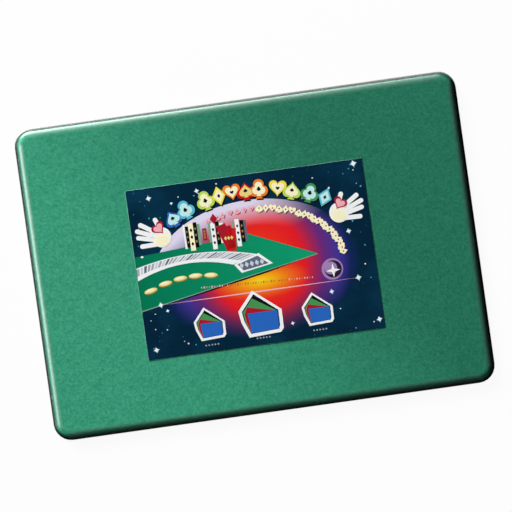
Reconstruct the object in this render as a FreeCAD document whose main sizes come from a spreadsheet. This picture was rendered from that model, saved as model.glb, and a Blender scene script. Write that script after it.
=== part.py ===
import FreeCAD, Part
import math
import os
import Sketcher

# Magician's close-up pad, in millimetres. A textured rubber base sheet carries a sponge core, and a napped
# cloth is bonded over the core with a hot-melt film and rolls down to the rubber all round. A printed insert
# card under a clear gloss film lies loose on the nap.
# The origin is the middle of the underside, +X runs along the long side and +Z points up.

SIZES = (
    ("pad_length", "431.8", "length over the rubber base"),
    ("pad_width", "304.8", "width over the rubber base"),
    ("corner_radius", "17", "corner radius of the rubber base"),
    ("base_thickness", "0.8", "rubber base sheet"),
    ("base_edge_round", "0.25", "rounding of the base sheet's upper edge"),
    ("rim_width", "1.8", "rubber left showing outside the cloth"),
    ("core_thickness", "3.6", "sponge core"),
    ("film_thickness", "0.1", "bonding film"),
    ("cloth_thickness", "1.5", "cloth with its nap"),
    ("roll_width", "7.4", "plan width of the rolled edge"),
    ("card_length", "231", "insert card, along the pad"),
    ("card_width", "165.3", "insert card, across the pad"),
    ("card_thickness", "0.45", "printed board"),
    ("gloss_thickness", "0.05", "clear film on the board"),
    ("card_offset", "3.4", "distance of the card's middle from the pad's, towards the front"),
)

DERIVED = (
    ("build_height", "=core_thickness + film_thickness + cloth_thickness", "laminate above the base"),
    ("roll_radius", "=(roll_width ^ 2 + build_height ^ 2) / (2 * build_height)", "outside of the rolled edge"),
    ("flat_length", "=pad_length - 2 * (rim_width + roll_width)", "flat top, between the rolled edges"),
    ("flat_width", "=pad_width - 2 * (rim_width + roll_width)", "flat top, between the rolled edges"),
    ("flat_corner", "=corner_radius - rim_width - roll_width", "corner radius of the flat top"),
    ("cloth_top", "=base_thickness + build_height", "height of the playing surface"),
)

# How a sketch constraint names a point: the origin, and the start, end and centre of an edge.
ORIGIN = (-1, 1)
START = 1
END = 2
CENTRE = 3
QUARTER_TURN = math.pi / 2


def make_sheet(doc):
    """Spreadsheet of driving sizes, then the sizes that follow from them."""
    sheet = doc.addObject("Spreadsheet::Sheet", "Sizes")
    for row, (alias, value, meaning) in enumerate(SIZES + DERIVED, start=1):
        sheet.set(f"A{row}", alias)
        sheet.set(f"B{row}", value)
        sheet.set(f"C{row}", meaning)
        sheet.setAlias(f"B{row}", alias)
    doc.recompute()
    return sheet


def origin_plane(body, role):
    """One of the body's own origin planes."""
    for feature in body.Origin.OriginFeatures:
        if feature.Role == role:
            return feature
    raise LookupError(role)


def new_sketch(body, name, role, height="0"):
    """Empty sketch on an origin plane, lifted off it by the given expression."""
    sketch = body.newObject("Sketcher::SketchObject", name)
    sketch.AttachmentSupport = [(origin_plane(body, role), "")]
    sketch.MapMode = "FlatFace"
    sketch.setExpression("AttachmentOffset.Base.z", height)
    return sketch


def drive(sketch, name, constraint, expression):
    """Adds a dimension and ties it to the spreadsheet."""
    index = sketch.addConstraint(constraint)
    sketch.renameConstraint(index, name)
    sketch.setExpression(f"Constraints.{name}", expression)


def draw_rectangle(sketch, sheet, length, width, offset="0"):
    """Rectangle centred across X, with its middle moved by offset along Y."""
    half_x = sheet.get(length) / 2
    half_y = sheet.get(width) / 2
    corners = [(-half_x, -half_y), (half_x, -half_y), (half_x, half_y), (-half_x, half_y)]
    points = [FreeCAD.Vector(x, y, 0) for x, y in corners]
    for index in range(4):
        sketch.addGeometry(Part.LineSegment(points[index], points[(index + 1) % 4]), False)
    for index in range(4):
        sketch.addConstraint(Sketcher.Constraint("Coincident", index, END, (index + 1) % 4, START))
        direction = "Vertical" if index % 2 else "Horizontal"
        sketch.addConstraint(Sketcher.Constraint(direction, index))
    drive(sketch, "length", Sketcher.Constraint("DistanceX", 0, START, 0, END, 2 * half_x), f"Sizes.{length}")
    drive(sketch, "width", Sketcher.Constraint("DistanceY", 1, START, 1, END, 2 * half_y), f"Sizes.{width}")
    drive(sketch, "left", Sketcher.Constraint("DistanceX", 0, START, *ORIGIN, half_x), f"Sizes.{length} / 2")
    drive(
        sketch,
        "front",
        Sketcher.Constraint("DistanceY", 0, START, *ORIGIN, half_y),
        f"Sizes.{width} / 2 + {offset}",
    )


def draw_rounded_outline(sketch, sheet, length, width, radius):
    """Rounded rectangle about the origin, whose right side is two lines that meet on the X axis."""
    half_x = sheet.get(length) / 2
    half_y = sheet.get(width) / 2
    corner = sheet.get(radius)
    inner_x = half_x - corner
    inner_y = half_y - corner
    ends = [
        (half_x, 0, half_x, inner_y),
        (inner_x, half_y, -inner_x, half_y),
        (-half_x, inner_y, -half_x, -inner_y),
        (-inner_x, -half_y, inner_x, -half_y),
        (half_x, -inner_y, half_x, 0),
    ]
    centres = [(inner_x, inner_y), (-inner_x, inner_y), (-inner_x, -inner_y), (inner_x, -inner_y)]
    normal = FreeCAD.Vector(0, 0, 1)
    edges = []
    for index, (x1, y1, x2, y2) in enumerate(ends):
        edges.append(Part.LineSegment(FreeCAD.Vector(x1, y1, 0), FreeCAD.Vector(x2, y2, 0)))
        if index < 4:
            circle = Part.Circle(FreeCAD.Vector(*centres[index], 0), normal, corner)
            edges.append(Part.ArcOfCircle(circle, index * QUARTER_TURN, (index + 1) * QUARTER_TURN))
    for edge in edges:
        sketch.addGeometry(edge, False)
    last = len(edges) - 1
    for index in range(last):
        sketch.addConstraint(Sketcher.Constraint("Tangent", index, END, index + 1, START))
    sketch.addConstraint(Sketcher.Constraint("Coincident", last, END, 0, START))
    for index in (0, 4, 8):
        sketch.addConstraint(Sketcher.Constraint("Vertical", index))
    for index in (2, 6):
        sketch.addConstraint(Sketcher.Constraint("Horizontal", index))
    for index in (3, 5, 7):
        sketch.addConstraint(Sketcher.Constraint("Equal", 1, index))
    sketch.addConstraint(Sketcher.Constraint("PointOnObject", 0, START, -1))
    drive(sketch, "corner", Sketcher.Constraint("Radius", 1, corner), f"Sizes.{radius}")
    drive(sketch, "right", Sketcher.Constraint("DistanceX", *ORIGIN, 0, START, half_x), f"Sizes.{length} / 2")
    drive(sketch, "left", Sketcher.Constraint("DistanceX", 4, START, *ORIGIN, half_x), f"Sizes.{length} / 2")
    drive(sketch, "rear", Sketcher.Constraint("DistanceY", *ORIGIN, 2, START, half_y), f"Sizes.{width} / 2")
    drive(sketch, "front", Sketcher.Constraint("DistanceY", 6, START, *ORIGIN, half_y), f"Sizes.{width} / 2")


def draw_roll_section(sketch, sheet, top, radius):
    """Section of a rolled edge: flat foot on the base, arc level with the flat top, straight inner side."""
    inner_x = sheet.get("flat_length") / 2
    foot_z = sheet.get("base_thickness")
    top_z = sketch.evalExpression(top)
    arc_radius = sketch.evalExpression(radius)
    centre_z = top_z - arc_radius
    foot_angle = math.asin((foot_z - centre_z) / arc_radius)
    circle = Part.Circle(FreeCAD.Vector(inner_x, centre_z, 0), FreeCAD.Vector(0, 0, 1), arc_radius)
    arc = Part.ArcOfCircle(circle, foot_angle, QUARTER_TURN)
    inner_foot = FreeCAD.Vector(inner_x, foot_z, 0)
    sketch.addGeometry(Part.LineSegment(inner_foot, arc.StartPoint), False)
    sketch.addGeometry(arc, False)
    sketch.addGeometry(Part.LineSegment(arc.EndPoint, inner_foot), False)
    for index in range(3):
        sketch.addConstraint(Sketcher.Constraint("Coincident", index, END, (index + 1) % 3, START))
    sketch.addConstraint(Sketcher.Constraint("Horizontal", 0))
    sketch.addConstraint(Sketcher.Constraint("Vertical", 2))
    sketch.addConstraint(Sketcher.Constraint("Vertical", 1, CENTRE, 1, END))
    drive(sketch, "inner", Sketcher.Constraint("DistanceX", *ORIGIN, 0, START, inner_x), "Sizes.flat_length / 2")
    drive(sketch, "foot", Sketcher.Constraint("DistanceY", *ORIGIN, 0, START, foot_z), "Sizes.base_thickness")
    drive(sketch, "crown", Sketcher.Constraint("DistanceY", *ORIGIN, 2, START, top_z), top)
    drive(sketch, "roll", Sketcher.Constraint("Radius", 1, arc_radius), radius)


def add_pad(body, sketch, thickness):
    """Straight extrusion of a sketch, upwards."""
    pad = body.newObject("PartDesign::Pad", f"{body.Name}_pad")
    pad.Profile = sketch
    pad.setExpression("Length", thickness)
    return pad


def make_base(doc, sheet):
    """Rubber base sheet with a slightly rounded upper edge."""
    body = doc.addObject("PartDesign::Body", "base_sheet")
    outline = new_sketch(body, "base_outline", "XY_Plane")
    draw_rounded_outline(outline, sheet, "pad_length", "pad_width", "corner_radius")
    pad = add_pad(body, outline, "Sizes.base_thickness")
    doc.recompute()
    top = max(pad.Shape.Faces, key=lambda face: face.CenterOfMass.z)
    upper = [f"Edge{n}" for n, edge in enumerate(pad.Shape.Edges, 1) if any(edge.isSame(e) for e in top.Edges)]
    fillet = body.newObject("PartDesign::Fillet", "base_edge")
    fillet.Base = (pad, upper)
    fillet.setExpression("Radius", "Sizes.base_edge_round")
    return body


def make_form(doc, sheet, name, cover):
    """Block with rolled edges that stands on the base, with room above it for a cover of given thickness."""
    body = doc.addObject("PartDesign::Body", name)
    outline = new_sketch(body, f"{name}_outline", "XY_Plane", "Sizes.base_thickness")
    draw_rounded_outline(outline, sheet, "flat_length", "flat_width", "flat_corner")
    block = add_pad(body, outline, f"Sizes.build_height - ({cover})")
    doc.recompute()
    path = new_sketch(body, f"{name}_path", "XY_Plane", "Sizes.base_thickness")
    draw_rounded_outline(path, sheet, "flat_length", "flat_width", "flat_corner")
    section = new_sketch(body, f"{name}_section", "XZ_Plane")
    draw_roll_section(section, sheet, f"Sizes.cloth_top - ({cover})", f"Sizes.roll_radius - ({cover})")
    doc.recompute()
    roll = body.newObject("PartDesign::AdditivePipe", f"{name}_roll")
    roll.Profile = section
    roll.Spine = (path, [f"Edge{n}" for n in range(1, len(path.Shape.Edges) + 1)])
    doc.recompute()
    if roll.Shape.Volume <= block.Shape.Volume:
        raise RuntimeError(f"{name}: the rolled edge added nothing")
    return body


def make_shell(doc, name, outside, inside):
    """What is left between two nested forms."""
    shell = doc.addObject("Part::Cut", name)
    shell.Base = outside
    shell.Tool = inside
    shell.Refine = True
    return shell


def make_card(doc, sheet, name, height, thickness):
    """Square-cornered sheet of the insert card, at a height above the origin."""
    body = doc.addObject("PartDesign::Body", name)
    outline = new_sketch(body, f"{name}_outline", "XY_Plane", height)
    draw_rectangle(outline, sheet, "card_length", "card_width", "Sizes.card_offset")
    add_pad(body, outline, thickness)
    return body


def label(pieces):
    """Gives each sub-part the label that names its file."""
    for name, piece in pieces.items():
        piece.Label = name


def check(doc, pieces):
    """Stops at a failed feature or at a sub-part that is not one closed, valid solid."""
    for item in doc.Objects:
        if "Invalid" in item.State or "Error" in item.State:
            raise RuntimeError(f"{item.Name}: {item.State}")
    for name, piece in pieces.items():
        shape = piece.Shape
        if shape.isNull() or not shape.isValid() or len(shape.Solids) != 1:
            raise RuntimeError(f"{name}: bad shape")
        box = shape.optimalBoundingBox()
        print(f"{name}: {shape.Volume / 1000:.2f} cm3, {box.XLength:.2f} x {box.YLength:.2f}", end=" ")
        print(f"from z {box.ZMin:.2f} to {box.ZMax:.2f}")


def write(pieces):
    """Writes one STEP file for each sub-part."""
    os.makedirs("parts", exist_ok=True)
    for piece in pieces.values():
        piece.Shape.exportStep(os.path.join("parts", f"{piece.Label}.step"))


def main():
    doc = FreeCAD.newDocument("close_up_pad")
    sheet = make_sheet(doc)
    core = make_form(doc, sheet, "sponge_core", "Sizes.film_thickness + Sizes.cloth_thickness")
    film_form = make_form(doc, sheet, "film_form", "Sizes.cloth_thickness")
    cloth_form = make_form(doc, sheet, "cloth_form", "0")
    card_height = "Sizes.cloth_top"
    gloss_height = "Sizes.cloth_top + Sizes.card_thickness"
    pieces = {
        "base_sheet": make_base(doc, sheet),
        "sponge_core": core,
        "glue_film": make_shell(doc, "glue_film", film_form, core),
        "pile_cloth": make_shell(doc, "pile_cloth", cloth_form, film_form),
        "insert_card": make_card(doc, sheet, "insert_card", card_height, "Sizes.card_thickness"),
        "gloss_film": make_card(doc, sheet, "gloss_film", gloss_height, "Sizes.gloss_thickness"),
    }
    label(pieces)
    doc.recompute()
    check(doc, pieces)
    write(pieces)


main()
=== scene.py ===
import logging
import math
import random
from dataclasses import dataclass, field
from enum import Enum
from functools import cache
from itertools import cycle
from typing import Callable, ClassVar, Iterable, Iterator, Sequence

import bmesh
import bpy
from mathutils import Matrix, Vector, noise


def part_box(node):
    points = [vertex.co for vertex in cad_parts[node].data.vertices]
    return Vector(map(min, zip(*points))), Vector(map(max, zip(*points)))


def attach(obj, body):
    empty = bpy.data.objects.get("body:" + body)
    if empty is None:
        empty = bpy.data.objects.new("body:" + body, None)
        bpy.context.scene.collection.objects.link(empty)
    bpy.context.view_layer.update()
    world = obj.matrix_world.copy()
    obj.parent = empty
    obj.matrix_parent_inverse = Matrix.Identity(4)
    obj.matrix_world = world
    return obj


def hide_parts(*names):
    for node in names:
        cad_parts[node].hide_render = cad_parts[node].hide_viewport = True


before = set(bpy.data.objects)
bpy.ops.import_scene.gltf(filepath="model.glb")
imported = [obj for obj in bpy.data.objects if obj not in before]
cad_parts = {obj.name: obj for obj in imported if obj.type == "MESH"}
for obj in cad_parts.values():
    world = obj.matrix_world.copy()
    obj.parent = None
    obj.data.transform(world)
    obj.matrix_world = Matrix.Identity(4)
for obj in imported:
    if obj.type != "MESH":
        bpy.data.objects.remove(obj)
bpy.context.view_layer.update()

# A magician's close-up pad: a green napped cloth rolled over a sponge core on a studded rubber base, with a
# printed insert card under clear film lying loose on the nap. Everything is in metres, apart from the
# picture on the card, which is laid out in millimetres.

MM = 0.001
LOG = logging.getLogger("close_up_pad")

Colour = tuple[float, float, float]
Point = tuple[float, float]
Node = bpy.types.Node
Socket = bpy.types.NodeSocket
Piece = bpy.types.Object
Shell = bmesh.types.BMesh


def srgb(red: int, green: int, blue: int) -> Colour:
    """Turns a screen colour, 0 to 255, into the linear colour that a shader takes."""
    def linear(value: int) -> float:
        """One channel, made linear."""
        share = value / 255
        return share / 12.92 if share <= 0.04045 else ((share + 0.055) / 1.055) ** 2.4
    return linear(red), linear(green), linear(blue)


# ---------------------------------------------------------------- shapes shared by the layers


@dataclass(frozen=True)
class Outline:
    """A rounded rectangle about the origin, seen from above."""

    length: float
    width: float
    corner: float

    def grown(self, by: float) -> "Outline":
        """The outline moved outwards by a distance."""
        return Outline(self.length + 2 * by, self.width + 2 * by, self.corner + by)

    @property
    def inner(self) -> Point:
        """Half sizes of the rectangle through the four corner centres."""
        return self.length / 2 - self.corner, self.width / 2 - self.corner

    def corner_centre(self, x: float, y: float) -> Point:
        """The point that a place on the outline is measured from.

        Args:
            x: place along the length.
            y: place along the width.

        Returns:
            The nearest point of the rectangle through the four corner centres.
        """
        reach_x, reach_y = self.inner
        return max(-reach_x, min(reach_x, x)), max(-reach_y, min(reach_y, y))

    def outward(self, x: float, y: float) -> Vector:
        """Unit vector that points straight out of the outline at a place on or outside it."""
        centre_x, centre_y = self.corner_centre(x, y)
        return Vector((x - centre_x, y - centre_y, 0)).normalized()

    def rounded(self, x: float, y: float) -> Point:
        """Moves a point of the full rectangle's corner square into the quarter disc of the corner."""
        centre_x, centre_y = self.corner_centre(x, y)
        across = abs(x - centre_x) / self.corner
        along = abs(y - centre_y) / self.corner
        if across < 1e-9 or along < 1e-9:
            return x, y
        if across >= along:
            turn = math.pi / 4 * along / across
        else:
            turn = math.pi / 2 - math.pi / 4 * across / along
        reach = self.corner * max(across, along)
        return (
            centre_x + math.copysign(reach * math.cos(turn), x),
            centre_y + math.copysign(reach * math.sin(turn), y),
        )


class Bend:
    """Base of the sections down the rolled edge."""

    def at(self, share: float) -> Point:
        """How far out and how high the section is, at a share of the bend from the crown."""
        raise NotImplementedError

    def steps(self, count: int) -> list[Point]:
        """Places down the bend, from just past the crown to the foot."""
        return [self.at(index / count) for index in range(1, count + 1)]


@dataclass(frozen=True)
class Roll(Bend):
    """The rounded edge of one layer, an arc that leaves the flat top level and ends on the foot."""

    crown: float
    foot: float
    run: float

    @property
    def radius(self) -> float:
        """Radius of the arc."""
        drop = self.crown - self.foot
        return (self.run ** 2 + drop ** 2) / (2 * drop)

    def inside(self, thickness: float) -> "Roll":
        """The same roll on the inner face of a layer of that thickness."""
        radius = self.radius - thickness
        rise = self.foot - (self.crown - self.radius)
        return Roll(self.crown - thickness, self.foot, math.sqrt(radius ** 2 - rise ** 2))

    def at(self, share: float) -> Point:
        """How far out and how high the arc is, at a share of its length from the crown."""
        turn = share * math.asin(self.run / self.radius)
        return self.radius * math.sin(turn), self.crown - self.radius * (1 - math.cos(turn))


@dataclass(frozen=True)
class FullRoll(Bend):
    """Outer face of the pile over the bend: fuller than the arc, and square to the rubber at its foot."""

    roll: Roll
    fullness: float = 2.2

    def at(self, share: float) -> Point:
        """How far out and how high the pile is, at a share of the bend from the crown."""
        turn = share * math.pi / 2
        power = 2 / self.fullness
        drop = self.roll.crown - self.roll.foot
        return (
            self.roll.run * math.sin(turn) ** power,
            self.roll.foot + drop * max(0.0, math.cos(turn)) ** power,
        )

    def facing(self, share: float) -> Point:
        """The way the pile faces there: its outward and its upward part."""
        before, after = self.at(max(0.0, share - 0.01)), self.at(min(1.0, share + 0.01))
        out, drop = after[0] - before[0], before[1] - after[1]
        length = math.hypot(out, drop)
        return drop / length, out / length


def lay_flat(shell: Shell, outline: Outline, height: float, cell: float) -> None:
    """Lays a grid of nearly square cells that fills a rounded outline at one height."""
    columns, rows = round(outline.length / cell), round(outline.width / cell)
    made = bmesh.ops.create_grid(shell, x_segments=columns, y_segments=rows, size=0.5)
    bmesh.ops.scale(shell, vec=(outline.length, outline.width, 1), verts=made["verts"])
    for vert in made["verts"]:
        x, y = outline.rounded(vert.co.x, vert.co.y)
        vert.co = Vector((x, y, height))


def run_on(shell: Shell, outline: Outline, path: Iterable[Point]) -> None:
    """Carries the open border of a shell on through rings.

    Args:
        shell: the mesh, with one open border that lies on or outside the outline.
        outline: where the ring distances are measured from.
        path: how far outside the outline and how high each next ring lies.
    """
    border = [edge for edge in shell.edges if edge.is_boundary]
    for out, height in path:
        made = bmesh.ops.extrude_edge_only(shell, edges=border)["geom"]
        border = [item for item in made if isinstance(item, bmesh.types.BMEdge) and item.is_boundary]
        for vert in {vert for edge in border for vert in edge.verts}:
            centre_x, centre_y = outline.corner_centre(vert.co.x, vert.co.y)
            away = outline.outward(vert.co.x, vert.co.y) * (outline.corner + out)
            vert.co = Vector((centre_x + away.x, centre_y + away.y, height))


def close_border(shell: Shell) -> None:
    """Closes the one open border with a single face."""
    bmesh.ops.edgeloop_fill(shell, edges=[edge for edge in shell.edges if edge.is_boundary])


def to_object(
    shell: Shell, name: str, finishes: Sequence[bpy.types.Material], sharp_over: float = 180.0
) -> Piece:
    """Turns a bmesh into a shown object.

    Args:
        shell: the finished mesh, which is freed.
        name: the piece's name.
        finishes: its material slots, in order.
        sharp_over: edges that turn by more than this many degrees stay sharp.

    Returns:
        The new object, at the origin.
    """
    bmesh.ops.recalc_face_normals(shell, faces=shell.faces)
    limit = math.radians(sharp_over)
    for face in shell.faces:
        face.smooth = True
    for edge in shell.edges:
        edge.smooth = edge.calc_face_angle(0.0) <= limit
    mesh = bpy.data.meshes.new(name)
    shell.to_mesh(mesh)
    shell.free()
    for finish in finishes:
        mesh.materials.append(finish)
    piece = bpy.data.objects.new(name, mesh)
    bpy.context.scene.collection.objects.link(piece)
    return piece


# ---------------------------------------------------------------- shader building


class Desk:
    """Places and links the nodes of one material or node group."""

    def __init__(self, tree: bpy.types.NodeTree) -> None:
        """Starts with an empty tree."""
        self.tree = tree
        tree.nodes.clear()

    def feed(self, node: Node, **inputs: object) -> None:
        """Sets or links inputs of a node.

        Args:
            node: the node.
            inputs: a value or an output socket for each input; a number names the input by place, as in i0.
        """
        for name, value in inputs.items():
            by_place = name[0] == "i" and name[1:].isdigit()
            socket = node.inputs[int(name[1:]) if by_place else name.replace("_", " ")]
            if isinstance(value, Socket):
                self.tree.links.new(value, socket)
            else:
                socket.default_value = (*value[:3], 1.0) if socket.type == "RGBA" else value

    def add(self, kind: str, settings: dict | None = None, **inputs: object) -> Node:
        """Adds a node.

        Args:
            kind: the node's type, without its ShaderNode prefix, or a full type name.
            settings: properties of the node itself.
            inputs: what its inputs are fed with.

        Returns:
            The new node.
        """
        node = self.tree.nodes.new(kind if kind.startswith("Node") else f"ShaderNode{kind}")
        for name, value in (settings or {}).items():
            setattr(node, name, value)
        self.feed(node, **inputs)
        return node

    def math(self, operation: str, first: object, second: object = 0.0, third: object = 0.0) -> Socket:
        """Output of a Math node."""
        return self.add("Math", {"operation": operation}, i0=first, i1=second, i2=third).outputs[0]

    def vector(self, operation: str, first: object, second: object = (0.0, 0.0, 0.0)) -> Socket:
        """Output of a Vector Math node, a number for LENGTH and a vector for the others."""
        node = self.add("VectorMath", {"operation": operation}, i0=first, i1=second)
        return node.outputs["Value" if operation == "LENGTH" else "Vector"]

    def mix(self, share: object, first: object, second: object, blend: str = "MIX") -> Socket:
        """Output of a colour Mix node."""
        settings = {"data_type": "RGBA", "blend_type": blend}
        return self.add("Mix", settings, i0=share, i6=first, i7=second).outputs[2]

    def shaded(self, colour: object, *shades: Socket) -> Socket:
        """A colour multiplied by one shade, or by one for each channel."""
        red, green, blue = shades if len(shades) == 3 else shades * 3
        tint = self.add("CombineColor", None, i0=red, i1=green, i2=blue).outputs[0]
        return self.mix(1.0, colour, tint, "MULTIPLY")

    def spread(
        self, value: object, low: float, high: float, to_low: float = 0.0, to_high: float = 1.0
    ) -> Socket:
        """Output of a Map Range node that keeps within its ends."""
        node = self.add("MapRange", {"clamp": True}, i0=value, i1=low, i2=high, i3=to_low, i4=to_high)
        return node.outputs[0]

    def split(self, place: Socket) -> Sequence[Socket]:
        """The three parts of a vector."""
        return self.add("SeparateXYZ", None, Vector=place).outputs

    def cloud(self, place: Socket, scale: object, detail: float = 2.0) -> Socket:
        """Output of a Noise Texture node."""
        return self.add("TexNoise", None, Vector=place, Scale=scale, Detail=detail).outputs[0]

    def cells(self, place: Socket, scale: object, feature: str = "F1", randomness: float = 1.0) -> Socket:
        """Distance output of a Voronoi Texture node."""
        settings = {"feature": feature}
        node = self.add("TexVoronoi", settings, Vector=place, Scale=scale, Randomness=randomness)
        return node.outputs["Distance"]

    def mottle(self, place: Socket, size: float, amount: float) -> tuple[Socket, Socket]:
        """Shade and height of the mottle group, with the size of its patches in millimetres."""
        node = self.add("Group", {"node_tree": Effect.mottle()}, Vector=place, Size=size, Amount=amount)
        return node.outputs["Shade"], node.outputs["Height"]

    def relief(self, shader: Node, height: object, strength: float, depth: float) -> None:
        """Feeds a height to the shader's normal through a Bump node."""
        bump = self.add("Bump", None, Strength=strength, Distance=depth, Height=height)
        self.feed(shader, Normal=bump.outputs[0])


class Effect:
    """Effects that more than one finish uses, each a node group made once."""

    @staticmethod
    def start(
        name: str, inputs: dict[str, object], outputs: dict[str, str]
    ) -> tuple[Desk, Sequence[Socket]]:
        """Makes an empty node group.

        Args:
            name: the group's name.
            inputs: name of each socket and its default value, which tells its kind.
            outputs: name of each socket and its kind.

        Returns:
            A desk for its nodes, and the outputs of its input node.
        """
        group = bpy.data.node_groups.new(name, "ShaderNodeTree")
        for label, value in inputs.items():
            kind = "Vector" if value is None else "Float" if isinstance(value, float) else "Color"
            socket = group.interface.new_socket(label, in_out="INPUT", socket_type=f"NodeSocket{kind}")
            if value is not None:
                socket.default_value = value
        for label, kind in outputs.items():
            group.interface.new_socket(label, in_out="OUTPUT", socket_type=f"NodeSocket{kind}")
        desk = Desk(group)
        return desk, desk.add("NodeGroupInput").outputs

    @classmethod
    @cache
    def mottle(cls) -> bpy.types.NodeTree:
        """Two scales of soft noise, as a shade about 1 and as a height."""
        inputs = {"Vector": None, "Size": 1.0, "Amount": 0.1}
        desk, given = cls.start("mottle", inputs, {"Shade": "Float", "Height": "Float"})
        scale = desk.math("DIVIDE", 1000.0, given["Size"])
        broad = desk.cloud(given["Vector"], scale)
        fine = desk.cloud(given["Vector"], desk.math("MULTIPLY", scale, 3.1))
        height = desk.math("SUBTRACT", desk.math("ADD", broad, fine), 1.0)
        shade = desk.math("MULTIPLY_ADD", height, given["Amount"], 1.0)
        desk.add("NodeGroupOutput", None, Shade=shade, Height=height)
        return desk.tree

    @classmethod
    @cache
    def printing(cls) -> bpy.types.NodeTree:
        """Offset printing: a colour broken up by fine screen dots and uneven ink."""
        inputs = {"Vector": None, "Color": (1.0, 1.0, 1.0, 1.0), "Dot size": 0.35, "Dot depth": 0.12}
        desk, given = cls.start("printing", inputs, {"Color": "Color", "Height": "Float"})
        scale = desk.math("DIVIDE", 1000.0, given["Dot size"])
        dot = desk.spread(desk.cells(given["Vector"], scale, randomness=0.15), 0.1, 0.7, 1.0, 0.0)
        blotch = desk.spread(desk.cloud(given["Vector"], 160.0, 3.0), 0.3, 0.7, 0.0, 0.6)
        depth = desk.math("MULTIPLY", desk.math("ADD", dot, blotch), given["Dot depth"])
        pale = desk.mix(desk.math("MULTIPLY", depth, 0.03), given["Color"], (0.9, 0.9, 0.88))
        dark = desk.mix(depth, pale, given["Color"], "MULTIPLY")
        desk.add("NodeGroupOutput", None, Color=dark, Height=dot)
        return desk.tree


class Finish:
    """Base of the finishes: a named material that is made once."""

    name: str
    made: ClassVar[dict[str, bpy.types.Material]] = {}

    def dress(self, desk: Desk, place: Socket, shader: Node) -> None:
        """Adds the finish's own nodes."""
        raise NotImplementedError

    def material(self) -> bpy.types.Material:
        """Makes the material, or gives the one already made."""
        if self.name not in self.made:
            fresh = bpy.data.materials.new(self.name)
            fresh.use_nodes = True
            desk = Desk(fresh.node_tree)
            place = desk.add("TexCoord").outputs["Object"]
            shader = desk.add("BsdfPrincipled")
            desk.add("OutputMaterial", None, Surface=shader.outputs[0])
            self.dress(desk, place, shader)
            self.made[self.name] = fresh
        return self.made[self.name]


@dataclass(frozen=True)
class NapFinish(Finish):
    """Short dense pile, with painted shade across it and low on the bend, and a sheen on the bend."""

    flat: Outline
    name: str = "nap_pile"
    # painted light and shade: a lit and a shaded copy of the pile colour, blended across the pad
    light: Colour = (0.037, 0.325, 0.19)
    dark: Colour = (0.0155, 0.176, 0.103)
    painted_shade_turn: float = math.radians(30.5)
    painted_shade_start: float = -81 * MM
    painted_shade_end: float = 122 * MM
    # painted shade low on the bend: how much colour is left at the foot, and the heights it fades between
    painted_foot_shade: float = 0.15
    painted_shade_heights: Point = (2.8 * MM, 5.3 * MM)
    corner_sheen: float = 0.17

    def dress(self, desk: Desk, place: Socket, shader: Node) -> None:
        """Two tones of painted shade, mottled at the scale of the tufts, with a soft fibrous relief."""
        x, y, z = desk.split(place)
        # painted shade: the colour runs from the lit to the shaded copy across the pad, lighter towards the
        # near left
        across = desk.math("MULTIPLY", x, math.cos(self.painted_shade_turn))
        along = desk.math("MULTIPLY_ADD", y, math.sin(self.painted_shade_turn), across)
        wander = desk.math("MULTIPLY_ADD", desk.cloud(place, 14.0), 0.05, along)
        base = desk.mix(desk.spread(wander, self.painted_shade_start, self.painted_shade_end), self.light, self.dark)
        tufts, height = desk.mottle(place, 2.3, 0.8)
        patches, _ = desk.mottle(place, 9.0, 0.12)
        # painted shade: the pile darkens towards the foot of the bend
        foot = desk.spread(z, *self.painted_shade_heights, self.painted_foot_shade, 1.0)
        shade = desk.math("MULTIPLY", desk.math("MULTIPLY", tufts, patches), foot)
        fibres = desk.cloud(place, 2600.0, 3.0)
        desk.relief(shader, desk.math("ADD", height, desk.math("MULTIPLY", fibres, 0.6)), 0.35, 0.12 * MM)
        broken = desk.spread(fibres, 0.3, 0.7, 0.55, 1.0)
        desk.feed(
            shader,
            Base_Color=desk.shaded(base, desk.math("POWER", shade, 2.6), shade, shade),
            Roughness=0.8,
            Specular_IOR_Level=0.15,
            Coat_Weight=desk.math("MULTIPLY", self.past_crown(desk, place), broken),
            Coat_Roughness=0.38,
            Coat_IOR=3.4,
        )

    def past_crown(self, desk: Desk, place: Socket) -> Socket:
        """Share of the sheen: none on the flat top, all of it on the bend, little round the corners."""
        beyond = desk.vector("SUBTRACT", desk.vector("ABSOLUTE", place), (*self.flat.inner, 1.0))
        outer = desk.vector("MAXIMUM", beyond, (0.0, 0.0, 0.0))
        away = desk.vector("LENGTH", outer)
        bend = desk.spread(away, self.flat.corner - 0.8 * MM, self.flat.corner + 1.6 * MM)
        both = desk.split(outer)
        askew = desk.math("DIVIDE", desk.math("MINIMUM", both[0], both[1]), away)
        return desk.math("MULTIPLY", bend, desk.spread(askew, 0.08, 0.4, 1.0, self.corner_sheen))


@dataclass(frozen=True)
class RubberFinish(Finish):
    """Black natural rubber, matt and finely pebbled, faintly dusty, its far lip rubbed to a soft shine."""

    far_edge: float
    name: str = "pebbled_rubber"
    black: Colour = srgb(22, 25, 24)
    dust: Colour = srgb(66, 68, 65)
    lip_height: float = 0.3 * MM
    rubbed_width: float = 2 * MM
    fade_width: float = 12 * MM

    def dress(self, desk: Desk, place: Socket, shader: Node) -> None:
        """Pebbled skin with dust in its hollows."""
        pebble = desk.cells(place, 1600.0)
        worn = desk.spread(desk.mottle(place, 22.0, 0.5)[1], -0.1, 0.45, 0.0, 0.35)
        dusty = desk.math("MULTIPLY", worn, desk.spread(pebble, 0.2, 0.6, 0.2, 1.0))
        desk.relief(shader, desk.math("MULTIPLY", pebble, -1.0), 0.4, 0.08 * MM)
        _, y, z = desk.split(place)
        rubbed = self.far_edge - self.rubbed_width
        far = desk.spread(y, rubbed - self.fade_width, rubbed)
        above = desk.spread(z, self.lip_height, self.lip_height + 0.1 * MM)
        desk.feed(
            shader,
            Base_Color=desk.mix(dusty, self.black, self.dust),
            Roughness=desk.spread(pebble, 0.0, 0.6, 0.5, 0.75),
            Coat_Weight=desk.math("MULTIPLY", far, above),
            Coat_Roughness=0.6,
            Coat_IOR=3.4,
        )


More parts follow.
